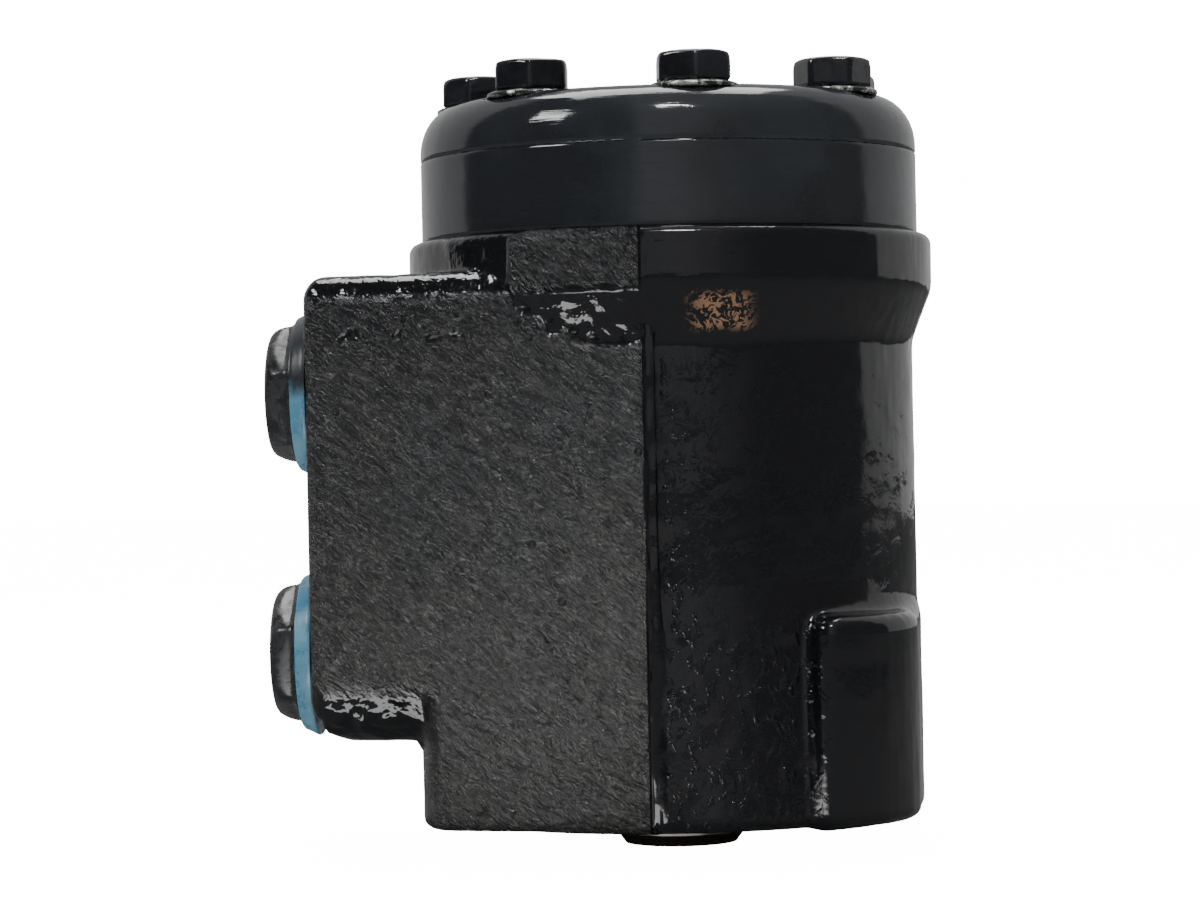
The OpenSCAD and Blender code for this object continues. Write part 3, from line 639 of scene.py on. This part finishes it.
def leaning_side(p):
    """Distance to the two side faces, which lean in towards the ports."""
    return math.cos(SIDE_LEAN) * np.abs(p[1]) - math.sin(SIDE_LEAN) * p[0] - SIDE_D


def barrel_field(p):
    r = np.hypot(p[0], p[1])
    flare = (FLARE_R - BARREL_R) * np.clip(1 - p[2] / FLARE_Z, 0, 1)
    flare = flare * smooth_step(p[0], RIDGE_X - 1, RIDGE_X + 1.5) * smooth_step(p[0], 49, 38)
    wall = r - np.interp(p[2], PROFILE_Z, PROFILE_R) - flare
    return meet(meet(wall, p[2] - HOUSING_H, 2.2), -p[2], CAST_EDGE_R)


def block_field(p):
    side = leaning_side(p)
    block = meet(side, PORT_FACE_X - p[0], BLOCK_CORNER_R)
    block = meet(block, p[2] - BLOCK_Z1, BLOCK_TOP_R)
    block = meet(block, BLOCK_Z0 - p[2], BLOCK_LOW_R)
    foot = meet(side, FOOT_LEFT_X - p[0], 8)
    foot = meet(meet(foot, p[2] - BLOCK_Z0 - 12), -p[2], CAST_EDGE_R)
    return np.maximum(join(block, foot, 2.2), p[0] - RIDGE_X)


def foot_field(p):
    qx, qy = np.abs(p[0]) - FOOT_HALF + FOOT_CORNER_R, np.abs(p[1]) - FOOT_HALF + FOOT_CORNER_R
    outline = np.hypot(np.maximum(qx, 0), np.maximum(qy, 0)) + np.minimum(np.maximum(qx, qy), 0)
    boss = meet(outline - FOOT_CORNER_R, BOSS_X - p[0], 5)
    return meet(meet(boss, p[2] - FOOT_H, 3.4), -p[2], CAST_EDGE_R)


def ridge_field(p):
    wander = 0.25 * np.sin(p[2] / 17) + 0.12 * np.sin(p[2] / 5.3 + 1)
    ridge = meet(np.abs(p[0] - RIDGE_X - wander) - RIDGE_HALF, np.abs(p[1]) - RIDGE_OUT, 0.9)
    return meet(meet(ridge, between(p[2], 1, CONE_Z0 + 3), 0.8), 44 - np.abs(p[1]))


def casting_field(p):
    body = join(barrel_field(p), block_field(p), 1.3)
    body = join(body, foot_field(p), 3.2)
    return join(body, ridge_field(p), 0.35)


def bores_field(p):
    """Everything that is bored out of the casting."""
    r = np.hypot(p[0], p[1])
    z = p[2]
    bore = np.minimum.reduce([meet(r - size, between(z, low, high)) for size, low, high in BORES])
    for groove in GALLERY_Z:
        bore = np.minimum(bore, meet(r - BORE_R - 3, np.abs(z - groove) - 2.5))
    for k in range(4):
        a = math.radians(45 + 90 * k)
        x, y = MOUNT_PCD / 2 * math.cos(a), MOUNT_PCD / 2 * math.sin(a)
        chamfer = np.maximum(0, 1.1 - z) * 0.8
        bore = np.minimum(bore, hole_z(p, x, y, MOUNT_HOLE_R + chamfer, -5, MOUNT_DEPTH))
    for a in BOLT_ANGLES:
        x, y = BOLT_CIRCLE_R * math.cos(a), BOLT_CIRCLE_R * math.sin(a)
        bore = np.minimum(bore, hole_z(p, x, y, BOLT_R + 0.1, 94, BIG))
        b = np.array([math.cos(a + math.pi / LOBES), math.sin(a + math.pi / LOBES)])
        bore = np.minimum(bore, bar(p, (*(METER_CIRCLE_R * b), HOUSING_H + 1), (*(19 * b), 97),
                                    METER_HOLE_R))
    for name, height in PORT_Z.items():
        y = PORT_SIDE[name] * PORT_Y
        bore = np.minimum(bore, hole_x(p, y, height, PORT_R, -90, PORT_FACE_X + PORT_DEPTH))
        away = -4 * PORT_SIDE[name]
        bore = np.minimum(bore, hole_x(p, y, height + away, PASSAGE_R, PORT_FACE_X + 14, PASSAGE_X))
    bore = np.minimum(bore, hole_z(p, RELIEF_X, 0, 7.1, -5, 10))
    bore = np.minimum(bore, hole_z(p, RELIEF_X, 0, 5.6, -5, 48))
    for end, inward in ((BLOCK_Z0, 1), (BLOCK_Z1, -1)):
        low, high = sorted((end - 5 * inward, end + VALVE_DEPTH * inward))
        bore = np.minimum(bore, hole_z(p, VALVE_X, 0, VALVE_R, low, high))
    return bore


def housing_field(p):
    return np.maximum(casting_field(p), -bores_field(p))


def casting_lumps(verts, normals):
    """How far the cast skin stands out or in, in millimetres. Machined faces and bores stay true."""
    x, y, z = verts.T
    p = [x, y, z]
    skin = smooth_step(np.abs(casting_field(p)), 0.3, 0.05)
    true_face = np.maximum(smooth_step(z, HOUSING_H - 1.2, HOUSING_H - 0.2), smooth_step(z, 1.2, 0.3))
    skin = skin * (1 - true_face) * (1 - smooth_step(-x, -PORT_FACE_X - 1.5, -PORT_FACE_X - 0.3))
    left = smooth_step(x, RIDGE_X, RIDGE_X - 2)
    lumps = 0.16 * fractal(x, y, z, 11, 3) + 0.10 * fractal(x, y, z, 4.5, 7) * (0.4 + left)
    down = smooth_step(-normals[:, 2], 0.06, 0.3)
    low_edge = down * left * smooth_step(z, 34, 27) * smooth_step(-normals[:, 2], 0.93, 0.7)
    cone = smooth_step(z, 97, 99.5) * smooth_step(z, 109, 106.5)
    cone_left = cone * left * (0.5 + smooth_step(z, 103, 98))
    cone_right = cone * (1 - left) * (0.35 + 0.65 * smooth_step(np.abs(x - FLECKS_X), 9, 4))
    spiky = fractal(x, y, z, 2.4, 21, 2)
    lumps = lumps + 0.8 * (low_edge + cone_left + 0.4 * cone_right) * spiky
    right = 1 - left
    blotchy = right * np.maximum(smooth_step(x, 8, -3), smooth_step(z, 48, 36) * smooth_step(x, 34, 24))
    lumps = lumps + 0.2 * blotchy * fractal(x, y, z * 0.6, 3.4, 31, 2)
    wrinkle = smooth_step(x, 36, 44) * smooth_step(np.abs(y), 15, 20)
    lumps = lumps + 0.09 * wrinkle * fractal(x * 1.7, y * 1.7, z * 0.25, 2.6, 41, 2)
    return lumps * skin


def build_housing():
    verts, quads = contour(housing_field, HOUSING_LO, HOUSING_HI, HOUSING_CELL)
    normals = vertex_normals(verts, quads)
    verts = verts + normals * casting_lumps(verts, normals)[:, None]
    obj = make_object("cast_housing", verts, quads, MATERIALS["casting_paint"], 48)
    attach(obj, "casing")
    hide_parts("housing")


# ---------------------------------------------------------------------------------------------
# Cover, gear ring and plate
# ---------------------------------------------------------------------------------------------


def bolt_holes_field(p):
    holes = [np.hypot(p[0] - BOLT_CIRCLE_R * math.cos(a), p[1] - BOLT_CIRCLE_R * math.sin(a))
             for a in BOLT_ANGLES]
    return np.minimum.reduce(holes)


def cover_field(p):
    r = np.hypot(p[0], p[1])
    u, v = np.maximum(r - SET_R + 8, 0) / 8, np.maximum(p[2] - COVER_HI[2] + 10, 0) / 10
    cap = meet((np.hypot(u, v) - 1) * 9, COVER_LO[2] - p[2], 0.55)
    holes = bolt_holes_field(p)
    cap = meet(cap, -(holes - BOLT_R - 0.3))
    return meet(cap, -np.maximum(holes - 9.7, WASHER_LO[2] - p[2]), 0.35)


def ring_field(p):
    r = np.hypot(p[0], p[1])
    outside = meet(meet(r - SET_R, p[2] - RING_HI[2], 0.4), RING_LO[2] - p[2], 0.03)
    lobes = np.minimum.reduce([np.hypot(p[0] - 32.5 * math.cos(a), p[1] - 32.5 * math.sin(a)) - 6
                               for a in BOLT_ANGLES])
    space = np.maximum(r - 32.8, -lobes)
    return np.maximum(np.maximum(outside, -space), -(bolt_holes_field(p) - BOLT_R - 0.3))


def plate_field(p):
    r = np.hypot(p[0], p[1])
    plate = meet(meet(r - SET_R, p[2] - PLATE_HI[2], 0.03), PLATE_LO[2] - p[2], 0.4)
    ports = np.minimum.reduce([np.hypot(p[0] - 27.5 * math.cos(a + math.pi / LOBES),
                                        p[1] - 27.5 * math.sin(a + math.pi / LOBES)) - 2.4
                               for a in BOLT_ANGLES])
    plate = np.maximum(np.maximum(plate, 12 - r), -ports)
    return np.maximum(plate, -(bolt_holes_field(p) - BOLT_R - 0.3))


def build_stack():
    stack = [("painted_cover", "end_cover", cover_field, COVER_LO, COVER_HI, "machined_paint"),
             ("painted_gear_ring", "gear_ring", ring_field, RING_LO, RING_HI, "machined_paint"),
             ("painted_plate", "distributor_plate", plate_field, PLATE_LO, PLATE_HI, "plate_paint")]
    for name, node, field, lo, hi, slot in stack:
        verts, quads = contour(field, lo, hi, STACK_CELL)
        obj = make_object(name, verts, quads, MATERIALS[slot], 35)
        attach(obj, "casing")
        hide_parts(node)


# ---------------------------------------------------------------------------------------------
# Screws and washers
# ---------------------------------------------------------------------------------------------

HEAD_Z = WASHER_HI[2]
HEAD_H, HEAD_HALF = 6.2, 7.15
SHANK_LOW = 97
PIN_R, PIN_L = 2, 2.5


def bolt_field(pin):
    def field(p):
        r = np.hypot(p[0], p[1])
        hexa = hexagon(p[0], p[1], HEAD_HALF, 0.8)
        dome = (np.sqrt((r / 9.6) ** 2 + (np.maximum(p[2] - HEAD_Z, 0) / (HEAD_H + 3.4)) ** 2) - 1) * 8
        head = meet(meet(hexa, dome, 0.7), meet(HEAD_Z - p[2], p[2] - HEAD_Z - HEAD_H, 1.2), 0.9)
        shank = meet(r - BOLT_R, between(p[2], SHANK_LOW, HEAD_Z + 1), 0.5)
        solid = join(head, shank)
        if pin:
            low = SHANK_LOW - PIN_L
            solid = np.minimum(solid, meet(r - PIN_R, between(p[2], low, SHANK_LOW + 1), 0.3))
        return solid
    return field


def place_bolt(verts, k):
    turn = math.radians(BOLT_TURNS[k] + 30) + BOLT_ANGLES[k]
    x = verts[:, 0] * math.cos(turn) - verts[:, 1] * math.sin(turn)
    y = verts[:, 0] * math.sin(turn) + verts[:, 1] * math.cos(turn)
    x, y = x + BOLT_CIRCLE_R * math.cos(BOLT_ANGLES[k]), y + BOLT_CIRCLE_R * math.sin(BOLT_ANGLES[k])
    return np.stack([x, y, verts[:, 2]], -1)


def painted_bolt(k):
    """One screw in its place, its paint thicker in some spots than in others."""
    low = SHANK_LOW - (PIN_L if k == 0 else 0)
    verts, quads = contour(bolt_field(k == 0), (-8.4, -8.4, low), (8.4, 8.4, HEAD_Z + HEAD_H), BOLT_CELL)
    normals = vertex_normals(verts, quads)
    head = smooth_step(verts[:, 2], HEAD_Z, HEAD_Z + 0.6)
    lumps = 0.10 * fractal(*verts.T, 4.2, 60 + 5 * k, 2) * head
    return place_bolt(verts + normals * lumps[:, None], k), quads


def build_bolts():
    groups = [("painted_pin_bolt", "check_pin_bolt", [0]),
              ("painted_bolts", "cover_bolts", range(1, LOBES))]
    for name, node, which in groups:
        verts, quads = merge([painted_bolt(k) for k in which])
        obj = make_object(name, verts, quads, MATERIALS["bolt_paint"], 60)
        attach(obj, "casing")
        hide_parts(node)


def build_washers():
    low, high = WASHER_LO[2], WASHER_HI[2]
    profile = [(5, low), (9.0, low), (9.25, low + 0.2), (9.25, low + 0.65), (9.1, low + 0.95),
               (8.5, high - 0.15), (8.0, high), (5, high)]
    verts, quads = lathe(profile, 96)
    placed = []
    for a in BOLT_ANGLES:
        centre = np.array([BOLT_CIRCLE_R * math.cos(a), BOLT_CIRCLE_R * math.sin(a), 0])
        placed.append((verts + centre, quads))
    verts, quads = merge(placed)
    obj = make_object("painted_washers", verts, quads, MATERIALS["washer_steel"], 50)
    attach(obj, "casing")
    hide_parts("bolt_washers")


# ---------------------------------------------------------------------------------------------
# Transport plugs and their rings
# ---------------------------------------------------------------------------------------------


PLUG_HALF, PLUG_COLLAR_R, PLUG_STEM_R, THREAD_PITCH = 12.8, 15, 10.1, 1.5


def plug_field(turn):
    c, s = math.cos(math.radians(turn)), math.sin(math.radians(turn))

    def field(p):
        x, y, z = p
        r = np.hypot(x, y)
        hexa = hexagon(c * x + s * y, -s * x + c * y, PLUG_HALF, 1.0)
        dome = (np.sqrt((r / 16.4) ** 2 + (np.maximum(z, 0) / 13.5) ** 2) - 1) * 12
        head = meet(meet(hexa, dome, 1.2), between(z, 3.5, 9.2), 0.8)
        collar = meet(r - PLUG_COLLAR_R, between(z, 1.6, 4), 0.7)
        neck = meet(r - 12.4, between(z, 0.3, 2.4), 0.2)
        thread = 0.35 * np.abs((z / THREAD_PITCH + np.arctan2(y, x) / (2 * math.pi)) % 1 - 0.5)
        stem = meet(r - PLUG_STEM_R - thread, between(z, -12, 1), 0.4)
        plug = join(join(head, collar, 0.8), np.minimum(neck, stem))
        return np.maximum(plug, -meet(r - 7.6, between(z, -13, -4)))
    return field


def build_plugs():
    collar = [(12.5, 0.02), (16.6, 0.02), (16.95, 0.12), (17.08, 0.45), (16.9, 0.95), (16.5, 1.7),
              (16.1, 2.6), (15.85, 3.15), (15.6, 3.38), (15.35, 3.3), (15.22, 2.6), (15.1, 1.58),
              (12.5, 1.58)]
    for name, turn in PLUG_TURN.items():
        verts, quads = contour(plug_field(turn), (-15, -15, -12), (15, 15, 9.2), PLUG_CELL)
        obj = make_object(f"{name}_plug_head", onto_port(verts, name), quads[:, ::-1],
                          MATERIALS["plug_plastic"], 50)
        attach(obj, "casing")
        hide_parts(f"{name}_port_plug")
        verts, quads = lathe(collar, 128)
        obj = make_object(f"{name}_flared_ring", onto_port(verts, name), quads[:, ::-1],
                          MATERIALS["ring_blue"], 50)
        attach(obj, "casing")
        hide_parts(f"{name}_port_seal")


# ---------------------------------------------------------------------------------------------
# CAD nodes that keep their shape
# ---------------------------------------------------------------------------------------------

NODE_MATERIAL = {
    "spool": "hub_steel", "sleeve": "valve_steel", "cross_pin": "ball_steel",
    "centring_springs": "spring_steel", "spring_retaining_ring": "spring_steel",
    "cardan_shaft": "gear_steel", "rotor": "gear_steel", "rotor_spacer": "gear_steel",
    "bearing_race_outer": "valve_steel", "needle_cage": "gear_steel",
    "bearing_needles": "ball_steel", "bearing_race_inner": "valve_steel",
    "shaft_seal": "seal_brown", "dust_seal": "rubber_black", "housing_o_ring": "rubber_black",
    "plate_o_ring": "rubber_black", "cover_o_ring": "rubber_black",
    "check_valve_bushing": "valve_steel", "check_ball": "ball_steel", "ball_stop": "valve_steel",
    "relief_valve_plug": "bolt_paint", "relief_adjust_screw": "valve_steel",
    "relief_spring": "spring_steel", "relief_poppet": "valve_steel",
    "relief_valve_seat": "valve_steel", "shock_plug_left": "bolt_paint",
    "shock_plug_right": "bolt_paint", "shock_spring_left": "spring_steel",
    "shock_spring_right": "spring_steel", "shock_ball_left": "ball_steel",
    "shock_ball_right": "ball_steel", "suction_ball_left": "ball_steel",
    "suction_ball_right": "ball_steel",
}


def paint_nodes():
    for node, slot in NODE_MATERIAL.items():
        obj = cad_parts[node]
        if not obj.material_slots:
            obj.data.materials.append(MATERIALS[slot])
        for place in obj.material_slots:
            place.material = MATERIALS[slot]


# ---------------------------------------------------------------------------------------------
# Floor, light and camera
# ---------------------------------------------------------------------------------------------


BACKDROP = 16.0
FLOOR_GLOW = 15.0
FILL = 0.8
MIRRORED_BACK = 0.62
MIRRORED_RIGHT, MIRRORED_FRONT, MIRRORED_LEFT = 0.13, 0.42, 0.04
FLOOR_HALF = 4.0


def build_floor():
    """Pale floor. Gloss paint mirrors a darker one, as it does on a table in a dark room."""
    mesh = bpy.data.meshes.new("floor")
    corners = [(x * FLOOR_HALF, y * FLOOR_HALF, HUB_LOW * MM)
               for x, y in ((-1, -1), (1, -1), (1, 1), (-1, 1))]
    mesh.from_pydata(corners, [], [(0, 1, 2, 3)])
    m = Material("floor_pale")
    rays = m.tree.nodes.new("ShaderNodeLightPath")
    m.colour(m.mix(rays.outputs["Is Glossy Ray"], (0.8, 0.8, 0.8), (0.12, 0.12, 0.12)))
    m.set(Roughness=0.85, Specular_IOR_Level=0.2, Emission_Color=(1, 1, 1, 1))
    m.set(Emission_Strength=m.math("MULTIPLY", rays.outputs["Is Camera Ray"], FLOOR_GLOW))
    mesh.materials.append(m.data)
    obj = bpy.data.objects.new("floor", mesh)
    bpy.context.scene.collection.objects.link(obj)


def area_light(name, place, target, size, power, only_mirrored=False):
    data = bpy.data.lights.new(name, "AREA")
    data.shape = "RECTANGLE"
    data.size, data.size_y = size
    data.energy = power
    obj = bpy.data.objects.new(name, data)
    obj.location = place
    obj.rotation_euler = (Vector(target) - Vector(place)).to_track_quat("-Z", "Y").to_euler()
    obj.visible_camera = False
    obj.visible_diffuse = not only_mirrored
    bpy.context.scene.collection.objects.link(obj)


def build_light():
    """White behind and overhead, and a dark room in front, which the gloss paint mirrors."""
    world = bpy.data.worlds.new("studio")
    bpy.context.scene.world = world
    world.use_nodes = True
    tree = world.node_tree
    tree.nodes.clear()

    def add(kind):
        return tree.nodes.new(kind)

    def background(strength):
        node = add("ShaderNodeBackground")
        node.inputs["Color"].default_value = (1, 1, 1, 1)
        if isinstance(strength, bpy.types.NodeSocket):
            tree.links.new(strength, node.inputs["Strength"])
        else:
            node.inputs["Strength"].default_value = strength
        return node.outputs[0]

    def mix(socket, a, b):
        node = add("ShaderNodeMixShader")
        for slot, source in zip(node.inputs, (rays.outputs[socket], a, b)):
            tree.links.new(source, slot)
        return node.outputs[0]

    def ramp(source, *values):
        """Smooth change with the first two values as its ends, from the third to the fourth."""
        node = add("ShaderNodeMapRange")
        node.interpolation_type = "SMOOTHSTEP"
        tree.links.new(source, node.inputs[0])
        for socket, value in zip(list(node.inputs)[1:5], values):
            if isinstance(value, bpy.types.NodeSocket):
                tree.links.new(value, socket)
            else:
                socket.default_value = value
        return node.outputs[0]

    coords, split = add("ShaderNodeTexCoord"), add("ShaderNodeSeparateXYZ")
    tree.links.new(coords.outputs["Generated"], split.inputs[0])
    front = ramp(split.outputs[0], 0.75, 0.1, MIRRORED_RIGHT, MIRRORED_FRONT)
    room = ramp(split.outputs[0], -0.12, -0.3, front, MIRRORED_LEFT)
    back = ramp(split.outputs[1], 0.19, 0.30, room, MIRRORED_BACK)
    rays, out = add("ShaderNodeLightPath"), add("ShaderNodeOutputWorld")
    lit = mix("Is Glossy Ray", background(FILL), background(back))
    tree.links.new(mix("Is Camera Ray", lit, background(BACKDROP)), out.inputs["Surface"])
    centre = (0, 0, 0.07)
    area_light("overhead", (-0.05, 0.35, 1.3), centre, (1.0, 0.6), 16)
    area_light("key", (-0.95, -0.55, 0.95), centre, (0.35, 0.3), 6.5)
    area_light("shoulder_spot", (0.08, -0.62, 1.0), centre, (0.2, 0.04), 3.6)
    area_light("low_glint", (-0.07, -0.10, -0.0065), (-0.07, -0.10, 0.1), (0.09, 0.06), 0.10, True)
    area_light("hub_glow", (-0.003, -0.032, -0.0034), (-0.003, 0, -0.0034), (0.05, 0.0064), 0.0007,
               True)


SENSOR, LENS = 36, 106.8
CAMERA_DISTANCE, CAMERA_LEFT, CAMERA_HEIGHT = 0.75, 0.0155, 0.0757
CAMERA_AZIMUTH, CAMERA_ROLL = 3.6, 1.18


def build_camera():
    """Camera at the height of the middle of the casting, a little right of the ridge."""
    data = bpy.data.cameras.new("camera")
    data.sensor_width = SENSOR
    data.lens = LENS
    obj = bpy.data.objects.new("camera", data)
    azimuth, roll = math.radians(CAMERA_AZIMUTH), math.radians(CAMERA_ROLL)
    back = Vector((math.sin(azimuth), -math.cos(azimuth), 0))
    right = Vector((math.cos(azimuth), math.sin(azimuth), 0))
    up = Vector((0, 0, 1)) * math.cos(roll) + right * math.sin(roll)
    across = up.cross(back)
    turn = Matrix((across, up, back)).transposed().to_4x4()
    place = back * CAMERA_DISTANCE - right * CAMERA_LEFT + Vector((0, 0, CAMERA_HEIGHT))
    obj.matrix_world = Matrix.Translation(place) @ turn
    bpy.context.scene.collection.objects.link(obj)
    bpy.context.scene.camera = obj


build_camera()
build_light()
build_floor()
build_housing()
build_stack()
build_bolts()
build_washers()
build_plugs()
paint_nodes()
